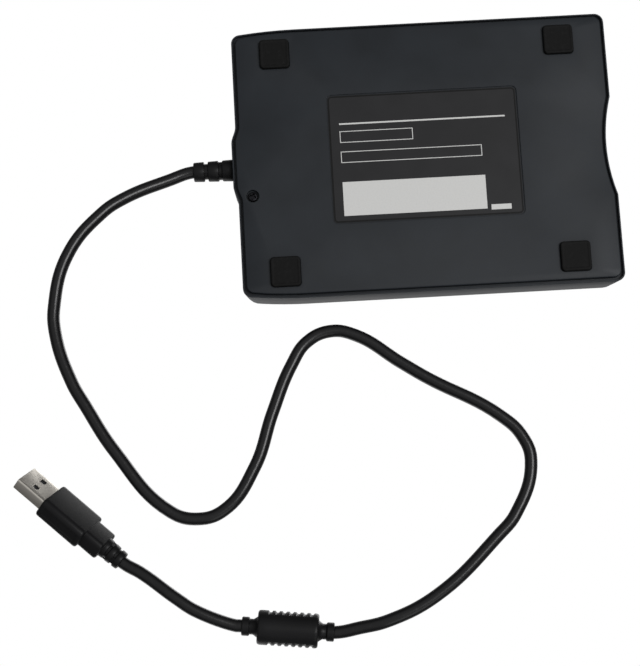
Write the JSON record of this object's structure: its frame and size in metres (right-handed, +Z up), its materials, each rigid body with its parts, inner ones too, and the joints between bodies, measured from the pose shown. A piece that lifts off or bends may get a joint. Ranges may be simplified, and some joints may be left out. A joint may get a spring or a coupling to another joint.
{
  "type": "external floppy disk drive",
  "caption": "Slim external floppy disk drive with a sprung dust door over its disk slot, an eject button, rubber feet and an attached cord with a choke and a USB plug.",
  "frame": {"origin": "on the floor under the middle of the case, at the level of the feet", "axes": "+Z up through the top cover, the disk slot faces -Y, the cord leaves towards +Y"},
  "size_m": [0.2313, 0.229, 0.0185],
  "materials": {
    "case_plastic": "fine grain",
    "label_film": null,
    "foot_rubber": "matte",
    "black_steel": "black oxide",
    "clear_plastic": "clear",
    "pressed_steel": "zinc plated",
    "spring_steel": "bright",
    "bright_steel": "ground",
    "board_laminate": "solder mask",
    "copper_wire": "enamelled copper",
    "bearing_brass": "turned",
    "black_plastic": "moulded",
    "head_ceramic": "ground ceramic",
    "cream_plastic": "moulded",
    "wire_jacket": "red, white, green and black",
    "cord_jacket": "smooth",
    "ferrite": "sintered",
    "plug_steel": "nickel plated",
    "contact_gold": "gold plated"
  },
  "bodies": {
    "case": {"top_cover": "case_plastic", "bottom_cover": "case_plastic", "label_plate": "label_film", "foot_rear_left": "foot_rubber", "foot_rear_right": "foot_rubber", "foot_front_left": "foot_rubber", "foot_front_right": "foot_rubber", "case_screw": "black_steel", "door_spring": "spring_steel", "light_pipe": "clear_plastic", "mech_chassis": "pressed_steel", "mech_shield": "pressed_steel", "mech_screws": "pressed_steel", "load_springs": "spring_steel", "motor_board": "board_laminate", "stator_coils": "copper_wire", "spindle_bearing": "bearing_brass", "stepper_motor": "pressed_steel", "screw_bearing": "pressed_steel", "guide_rod": "bright_steel", "rod_clamps": "pressed_steel", "drive_board": "board_laminate", "track_sensor": "black_plastic", "sensor_switches": "black_plastic", "activity_led": "clear_plastic", "flex_cable": "cream_plastic", "flex_connectors": "cream_plastic", "usb_board": "board_laminate", "board_chips": "black_plastic", "board_parts": "bright_steel", "cord_header": "cream_plastic", "cord_leads": "wire_jacket", "strain_relief": "cord_jacket", "cord_long": "cord_jacket", "choke_housing": "cord_jacket", "choke_core": "ferrite", "cord_short": "cord_jacket", "plug_body": "cord_jacket", "plug_shell": "plug_steel", "plug_tongue": "black_plastic", "plug_contacts": "contact_gold"},
    "slide": {"slide_plate": "pressed_steel", "eject_button": "case_plastic"},
    "cradle": {"disk_cradle": "pressed_steel", "shutter_spring": "spring_steel"},
    "lever": {"shutter_lever": "pressed_steel"},
    "door": {"dust_door": "case_plastic"},
    "spindle": {"spindle_shaft": "bright_steel", "spindle_rotor": "pressed_steel", "chuck_hub": "black_plastic"},
    "carriage": {"head_carriage": "black_plastic", "lower_head": "head_ceramic", "arm_leaf": "spring_steel"},
    "arm": {"upper_arm": "black_plastic", "upper_head": "head_ceramic"},
    "screw": {"lead_screw": "bright_steel"},
    "protect_plunger": {"plunger_protect": "cream_plastic"},
    "density_plunger": {"plunger_density": "cream_plastic"},
    "disk_plunger": {"plunger_disk": "cream_plastic"}
  },
  "joints": [
    {"name": "load_slide", "type": "slide", "parent": "case", "child": "slide", "axis": [0, -1, 0], "range_m": [0, 0.004]},
    {"name": "cradle_drop", "type": "slide", "parent": "case", "child": "cradle", "axis": [0, 0, -1], "range_m": [0, 0.0025]},
    {"name": "lever_swing", "type": "hinge", "parent": "cradle", "child": "lever", "pos_m": [-0.039, 0.02, 0.0145], "axis": [0, 0, 1], "range_deg": [0, 75], "stiffness_Nm_per_rad": 0.0002, "springref_deg": -28.65},
    {"name": "door_swing", "type": "hinge", "parent": "case", "child": "door", "pos_m": [0, -0.06595, 0.01425], "axis": [1, 0, 0], "range_deg": [0, 80], "stiffness_Nm_per_rad": 0.0003, "springref_deg": -28.65},
    {"name": "spindle_turn", "type": "hinge", "parent": "case", "child": "spindle", "pos_m": [0, -0.019, 0.005], "axis": [0, 0, 1], "continuous": true},
    {"name": "head_travel", "type": "slide", "parent": "case", "child": "carriage", "axis": [0, -1, 0], "range_m": [0, 0.0148]},
    {"name": "arm_close", "type": "hinge", "parent": "carriage", "child": "arm", "pos_m": [0, 0.047, 0.0143], "axis": [1, 0, 0], "range_deg": [0, 9.6]},
    {"name": "screw_turn", "type": "hinge", "parent": "case", "child": "screw", "pos_m": [-0.022, 0.04, 0.0096], "axis": [0, 1, 0], "range_deg": [0, 1777]},
    {"name": "protect_press", "type": "slide", "parent": "case", "child": "protect_plunger", "axis": [0, 0, -1], "range_m": [0, 0.0011], "stiffness_N_per_m": 20, "springref_m": -0.0005},
    {"name": "density_press", "type": "slide", "parent": "case", "child": "density_plunger", "axis": [0, 0, -1], "range_m": [0, 0.0011], "stiffness_N_per_m": 20, "springref_m": -0.0005},
    {"name": "disk_press", "type": "slide", "parent": "case", "child": "disk_plunger", "axis": [0, 0, -1], "range_m": [0, 0.0011], "stiffness_N_per_m": 20, "springref_m": -0.0005}
  ],
  "couplings": [
    {"joint": "cradle_drop", "follows": "load_slide", "ratio": 0.625},
    {"joint": "arm_close", "follows": "load_slide", "rad_per_m": 41.8},
    {"joint": "screw_turn", "follows": "head_travel", "rad_per_m": 2094.4}
  ]
}
